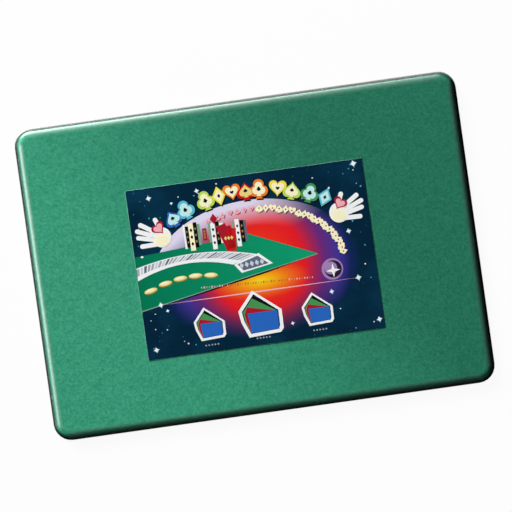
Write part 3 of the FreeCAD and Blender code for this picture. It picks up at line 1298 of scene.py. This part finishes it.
    def stacks(self, plate: Plate) -> None:
        """Three stacks of cards stood on end at the back of the mat, with a red fan between two of them."""
        strips = (
            (-64.2, 1.8, 20.5, 42.5, Ink.WHITE),
            (-61.6, 3.2, 20.0, 40.5, Ink.BLACK),
            (-57.6, 4.8, 16.5, 43.0, Ink.CREAM),
            (-53.4, 3.6, 19.0, 43.5, Ink.BLACK),
            (-50.2, 2.6, 21.0, 41.5, Ink.SAGE),
            (-45.0, 4.0, 25.0, 36.5, Ink.CRIMSON),
            (-39.8, 2.0, 22.0, 41.0, Ink.SAGE),
            (-36.4, 4.4, 15.0, 40.5, Ink.WHITE),
            (-32.0, 3.6, 19.0, 41.5, Ink.BLACK),
            (-28.2, 3.8, 20.0, 39.5, Ink.CREAM),
            (-16.6, 2.2, 17.0, 40.0, Ink.SAGE),
            (-12.8, 4.2, 14.5, 41.0, Ink.WHITE),
            (-8.4, 3.6, 18.0, 39.5, Ink.BLACK),
            (-5.2, 2.4, 19.0, 39.0, Ink.SLATE),
        )
        for x, width, low, high, ink in strips:
            plate.bar((width, high - low), ink, 5, (x, (low + high) / 2))
            mark = Ink.BLACK if ink in (Ink.WHITE, Ink.CREAM) else Ink.BRASS
            for share in (0.25, 0.5, 0.75) if width > 3 else ():
                plate.pip(Suit.DIAMOND, width * 0.75, mark, 6, (x, low + (high - low) * share))
        for index, turn in enumerate((0.32, 0.12, -0.1)):
            at = (-25.4 + 2.6 * index, 27.0 - 2.4 * index)
            plate.bar((9.4, 22), Ink.CRIMSON if index < 2 else Ink.RED, 7, at, turn)
        for index in range(3):
            plate.pip(Suit.DIAMOND, 3.6, Ink.GOLD, 8, (-25.5 + 3 * index, 24))
        plate.pip(Suit.DIAMOND, 9.4, Ink.CRIMSON, 6, (-34.6, 44.3))

    def sample_icons(self, plate: Plate) -> None:
        """Three outlined badges, each with a fan of coloured cloth samples."""
        badge = (
            (-3.6, 16.8), (-14.9, 3.6), (-13.8, -4.5), (-9.6, -15.2),
            (12.6, -14.2), (14.8, -11.6), (15.0, 1.4),
        )
        right = ((11.6, -11.6), (11.8, 0.8))
        samples = (
            (Ink.LEAF, ((-4.4, 11.4), (-11.9, 2.6), (-10.9, -4.2), (-7.9, -12.4), *right)),
            (Ink.CRIMSON, ((-8.6, 5.8), (-10.8, 1.0), (-10.2, -4.4), (-7.6, -12.4), *right)),
            (Ink.BLUE, ((-8.8, 1.4), (-7.4, -12.4), (11.7, -11.7), (11.9, 1.2))),
        )
        for middle, scale in (((-52.5, -56), 1.0), ((-2.4, -53), 1.4), ((52.8, -56), 1.0)):
            plate.shape(scaled(badge, scale), Ink.WHITE, 4, middle)
            plate.shape(scaled(badge, scale * 0.84), Ink.BLACK, 5, middle)
            for level, (ink, corners) in enumerate(samples, start=6):
                plate.shape(scaled(corners, scale), ink, level, middle)
            for dot in range(5):
                plate.dot(0.8, Ink.GREY, 2, (middle[0] + (dot - 2) * 3, -76))

    def pip_arch(self, plate: Plate) -> None:
        """An arch of outlined pips over the dome, in four groups, through the colours of the rainbow."""
        glyphs = (
            (-88.0, Suit.HEART, Ink.CRIMSON, Ink.ROSE),
            (-73.8, Suit.SPADE, Ink.BLUE, Ink.ICE),
            (-60.4, Suit.CLUB, Ink.CYAN, Ink.ICE),
            (-40.0, Suit.CLUB, Ink.LIME, Ink.CREAM),
            (-26.4, Suit.DIAMOND, Ink.YELLOW, Ink.CREAM),
            (-13.4, Suit.HEART, Ink.ORANGE, Ink.CREAM),
            (-0.2, Suit.SPADE, Ink.RED, Ink.GOLD),
            (12.8, Suit.CLUB, Ink.ORANGE, Ink.CREAM),
            (31.0, Suit.HEART, Ink.YELLOW, Ink.CREAM),
            (44.6, Suit.SPADE, Ink.LIME, Ink.CREAM),
            (61.2, Suit.CLUB, Ink.LEAF, Ink.ICE),
            (75.0, Suit.DIAMOND, Ink.CYAN, Ink.ICE),
            (88.2, Suit.HEART, Ink.CRIMSON, Ink.ROSE),
        )
        reach_x, reach_y = 118, 76.5
        for x, suit, ink, fill in glyphs:
            lift = math.sqrt(1 - (x / reach_x) ** 2)
            lean = -math.atan2(reach_y * x / reach_x, reach_x * lift)
            at = (x, self.dome_middle[1] + reach_y * lift)
            on_glove = abs(x) > 80
            size, level = (13.4, 8) if on_glove else (17.4, 4)
            if not on_glove:
                plate.pip(suit, size * 1.06, Ink.BLACK, 3, (at[0] + 0.8, at[1] - 0.9), lean)
            plate.pip(suit, size, ink, level, at, lean)
            plate.pip(suit, size * 0.72, fill, level + 1, at, lean)
            if not on_glove:
                plate.pip(suit, size * 0.22, Ink.BLACK, level + 2, at, lean)

    def lozenge_arch(self, plate: Plate) -> None:
        """Rows of small lozenges and beads inside the dome's rim, in six groups."""
        reach_x, reach_y = 86, 58
        suits = cycle((Suit.DIAMOND, Suit.HEART, Suit.SPADE))
        for first, last in ((118, 107), (102, 88), (83, 61), (56, 48), (44, 33), (29, 5)):
            count = max(3, round((first - last) / 4.2) + 1)
            for step in range(count):
                turn = math.radians(first + (last - first) * step / (count - 1))
                out, up = reach_x * math.cos(turn), reach_y * math.sin(turn)
                x, y = at = (self.dome_middle[0] + out, self.dome_middle[1] + up)
                fade = turn > math.radians(86)
                size = 5.4 if fade else 7.6
                lean = math.atan2(reach_x * math.sin(turn), reach_y * math.cos(turn)) - math.pi / 2
                suit = next(suits)
                plate.pip(suit, size, Ink.CRIMSON if fade else Ink.BLACK, 3, (x + 0.6, y - 0.8), lean)
                plate.pip(suit, size, Ink.ROSE if fade else Ink.CREAM, 4, at, lean)
                plate.dot(size * 0.1, Ink.CRIMSON, 5, at, 8)

    def gloves(self, plate: Plate) -> None:
        """A pair of open white gloves at the ends of the arch."""
        tips = ((91.5, 53.2), (107.2, 49.2), (111.3, 43.1), (111.1, 36.4), (108.5, 27.2))
        roots = ((87.4, 43.0), (91.0, 38.5), (92.0, 35.2), (92.0, 31.8), (90.0, 27.6))
        half_width = 2.2
        for side in (-1, 1):
            plate.disc((9.4, 9.8), Ink.WHITE, 5, (side * 86.5, 33.6))
            plate.disc((8.2, 7.4), Ink.IVORY, 6, (side * 86.2, 31.6))
            plate.disc((6.2, 4.8), Ink.CREAM, 7, (side * 86.0, 30.4))
            for (tip_x, tip_y), (root_x, root_y) in zip(tips, roots):
                away_x, away_y = side * (tip_x - root_x), tip_y - root_y
                length = math.hypot(away_x, away_y) - half_width
                root, turn = (side * root_x, root_y), math.atan2(away_y, away_x)
                plate.finger(length, half_width, Ink.WHITE, 5, root, turn)

    def ring(self, plate: Plate) -> None:
        """A plain ring with a sparkle in it."""
        x, y = 72.6, -19.6
        plate.dot(10.4, Ink.LILAC, 4, (x, y), 48)
        plate.dot(8.4, Ink.DUSK, 5, (x + 0.7, y), 48)
        plate.dot(6.2, Ink.LILAC, 6, (x - 1.4, y + 1.2), 40)
        plate.sparkle(7.0, Ink.WHITE, 7, (x + 0.6, y - 1.4))

    def stars(self, plate: Plate) -> None:
        """Bright four-pointed stars, and small ones scattered over the sky."""
        bright = (
            (-94, 72.5, 3.2), (-47, 73.3, 2.8), (106.6, 78.5, 3.8), (93.3, 14.5, 3.0), (96.4, -31.3, 3.4),
            (111, -74, 3.2), (-106.6, -73.8, 3.2), (69, -41.2, 2.8), (27.4, -66.3, 2.2),
            (-90.6, -37.7, 2.0), (-96.4, -31.3, 3.2), (-72.9, 64.7, 1.8), (80, 58.4, 1.5),
        )
        for x, y, size in bright:
            plate.dot(size * 0.62, Ink.CYAN, 4, (x, y), 20)
            plate.dot(size * 0.48, Ink.WHITE, 5, (x, y), 16)
            plate.sparkle(size, Ink.WHITE, 6, (x, y), 0.14)
        dice = random.Random(5)
        scattered = 0
        while scattered < 46:
            x, y = (dice.uniform(-0.48, 0.48) * side / MM for side in self.size)
            out = (x - self.dome_middle[0]) / self.dome_reach[0]
            up = (y - self.dome_middle[1]) / self.dome_reach[1]
            over_table = x < 0 and -36 < y < 20
            if math.hypot(out, up) > 1.04 and not over_table:
                size = dice.uniform(0.3, 0.75)
                plate.dot(size, Ink.CYAN if dice.random() < 0.5 else Ink.WHITE, 2, (x, y), 10)
                scattered += 1


# ---------------------------------------------------------------- studio


def add_light(name: str, kind: str, power: float) -> Piece:
    """Adds a light of a kind, such as SUN, to the scene."""
    light = bpy.data.lights.new(name, kind)
    light.energy = power
    lamp = bpy.data.objects.new(name, light)
    bpy.context.scene.collection.objects.link(lamp)
    return lamp


@dataclass(frozen=True)
class Softbox:
    """A rectangular light at the side of the pad, turned to its middle.

    The side is the turn from the pad's long axis and the height the angle above the floor, in degrees.
    """

    name: str
    side: float
    height: float
    size: Point
    power: float
    distance: float = 8.0

    def build(self) -> None:
        """Adds the light to the scene."""
        lamp = add_light(self.name, "AREA", self.power)
        lamp.data.shape = "RECTANGLE"
        lamp.data.size, lamp.data.size_y = self.size
        side, height = math.radians(self.side), math.radians(self.height)
        level = math.cos(height)
        way = Vector((math.cos(side) * level, math.sin(side) * level, math.sin(height)))
        lamp.location = way * self.distance
        lamp.rotation_mode = "QUATERNION"
        lamp.rotation_quaternion = way.to_track_quat("Z", "Y")
        lamp.visible_camera = False


@dataclass
class Studio:
    """Plain pale floor, a low key light at the far left corner, three weaker ones and a camera overhead."""

    pad_top: float
    frame_width: float = 495.6 * MM
    lens: float = 120.0
    sensor: float = 36.0
    turn: float = math.radians(-8)
    aim: Point = (1.25 * MM, -0.19 * MM)
    focus_share: float = 0.7
    floor_drop: float = 0.05 * MM
    floor_paint: Point = (0.058, 0.062)
    floor_glow: float = 0.93
    fill: float = 0.009
    backdrop: float = 0.97
    under_power: float = 4.5
    softboxes: tuple[Softbox, ...] = (
        Softbox("key_corner", side=124.0, height=15.0, size=(2.4, 2.2), power=1790.0),
        Softbox("strip_left", side=176.0, height=44.0, size=(2.0, 3.2), power=140.0),
        Softbox("strip_far", side=94.0, height=10.0, size=(2.6, 2.0), power=150.0),
        Softbox("fill_near", side=-50.0, height=8.0, size=(4.0, 2.0), power=11.0),
    )

    def build(self) -> None:
        """Sets up the whole studio."""
        self.floor()
        self.world()
        for softbox in self.softboxes:
            softbox.build()
        self.under_light()
        self.camera()

    def floor(self) -> None:
        """A wide pale floor that the pad lies on."""
        shell = bmesh.new()
        bmesh.ops.create_grid(shell, x_segments=1, y_segments=1, size=60.0)
        floor = to_object(shell, "floor", [self.floor_finish()])
        floor.location.z = -self.floor_drop
        floor.visible_diffuse = False
        floor.visible_glossy = False
        floor.visible_shadow = False

    def under_light(self) -> None:
        """Parallel light from below, which shows the underside when the pad is seen from there."""
        lamp = add_light("under_light", "SUN", self.under_power)
        lamp.data.angle = math.radians(4)
        lamp.rotation_euler = (math.radians(172), math.radians(4), 0)

    def floor_finish(self) -> bpy.types.Material:
        """Nearly shadowless white, clear from below."""
        made = bpy.data.materials.new("studio_floor")
        made.use_nodes = True
        desk = Desk(made.node_tree)
        place = desk.add("TexCoord").outputs["Object"]
        pale = desk.spread(desk.cloud(place, 3.0), 0.3, 0.7, *self.floor_paint)
        paint = desk.add("BsdfDiffuse", None, Color=pale)
        shine = desk.add("Emission", None, Color=(1.0, 1.0, 1.0), Strength=self.floor_glow)
        lit = desk.add("AddShader", None, i0=paint.outputs[0], i1=shine.outputs[0])
        clear = desk.add("BsdfTransparent")
        under = desk.add("NewGeometry").outputs["Backfacing"]
        both = desk.add("MixShader", None, i0=under, i1=lit.outputs[0], i2=clear.outputs[0])
        desk.add("OutputMaterial", None, Surface=both.outputs[0])
        return made

    def world(self) -> None:
        """Dim all-round fill, seen as white behind the floor's far edge."""
        world = bpy.data.worlds.new("studio")
        bpy.context.scene.world = world
        world.use_nodes = True
        desk = Desk(world.node_tree)
        fill, white = (
            desk.add("Background", None, Color=(1.0, 1.0, 1.0), Strength=strength)
            for strength in (self.fill, self.backdrop)
        )
        seen = desk.add("LightPath").outputs["Is Camera Ray"]
        both = desk.add("MixShader", None, i0=seen, i1=fill.outputs[0], i2=white.outputs[0])
        desk.add("OutputWorld", None, Surface=both.outputs[0])

    def camera(self) -> None:
        """Straight above the pad, with a long lens, turned so that the pad lies askew."""
        data = bpy.data.cameras.new("camera")
        data.lens = self.lens
        data.sensor_width = self.sensor
        camera = bpy.data.objects.new("camera", data)
        across = Vector((math.cos(self.turn), math.sin(self.turn), 0))
        upward = Vector((-math.sin(self.turn), math.cos(self.turn), 0))
        height = self.pad_top * self.focus_share + self.frame_width * self.lens / self.sensor
        camera.location = across * self.aim[0] + upward * self.aim[1] + Vector((0, 0, height))
        camera.rotation_euler = (0, 0, self.turn)
        bpy.context.scene.collection.objects.link(camera)
        bpy.context.scene.camera = camera
        bpy.context.scene.view_settings.view_transform = "Standard"


# ---------------------------------------------------------------- putting it together


def hand_over(piece: Piece, body: str, slot: str, *nodes: str) -> Piece:
    """Attaches a piece to its body, hides the CAD nodes that it stands for, and reports it.

    Args:
        piece: the finished piece.
        body: the CAD body it moves with.
        slot: the record's material slot, not used.
        nodes: CAD nodes that it stands for.

    Returns:
        The same piece.
    """
    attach(piece, body)
    if nodes:
        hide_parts(*nodes)
    LOG.info("%s: %d faces, rides on %s", piece.name, len(piece.data.polygons), body)
    return piece


def build_pad() -> float:
    """Builds the four layers of the pad.

    Returns:
        Height of the playing surface.
    """
    base_low, base_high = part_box("base_sheet")
    cloth_low, cloth_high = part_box("pile_cloth")
    corner = 17 * MM
    roll_run = 7.4 * MM
    cloth_thickness = 1.5 * MM
    film_thickness = 0.1 * MM
    outline = Outline(base_high.x - base_low.x, base_high.y - base_low.y, corner)
    rim = base_high.x - cloth_high.x
    flat = outline.grown(-rim - roll_run)
    roll = Roll(cloth_high.z, cloth_low.z, roll_run)

    base = hand_over(RubberBase(outline, base_high.z).build(), "pad", "base_rubber", "base_sheet")
    core = SpongeCore(flat, roll.inside(cloth_thickness + film_thickness)).build()
    hand_over(core, "pad", "sponge", "sponge_core")
    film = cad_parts["glue_film"]
    film.data.materials.clear()
    film.data.materials.append(FilmFinish().material())
    LOG.info("glue_film: CAD node, new finish")

    cloth = NapCloth(flat, roll, cloth_thickness)
    nap = hand_over(cloth.build(), "pad", "nap", "pile_cloth")
    fibres = NapFibres(flat, roll)
    top = hand_over(fibres.build_top(), "pad", "nap")
    edge = hand_over(fibres.build_edge(), "pad", "nap")
    cloth.cut_size()
    return cloth_high.z


def build_card() -> None:
    """Builds the insert card and its picture."""
    low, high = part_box("insert_card")
    card = InsertCard(low, high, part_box("gloss_film")[1].z)
    hand_over(card.board(), "card", "printed_board", "insert_card")
    for print_piece in card.prints():
        hand_over(print_piece, "card", "printed_board")
    hand_over(card.film(), "card", "gloss", "gloss_film")


def main() -> None:
    """Builds the pad, the card and the studio."""
    logging.basicConfig(level=logging.INFO, format="%(name)s: %(message)s")
    pad_top = build_pad()
    build_card()
    Studio(pad_top).build()


if __name__ == "__main__":
    main()
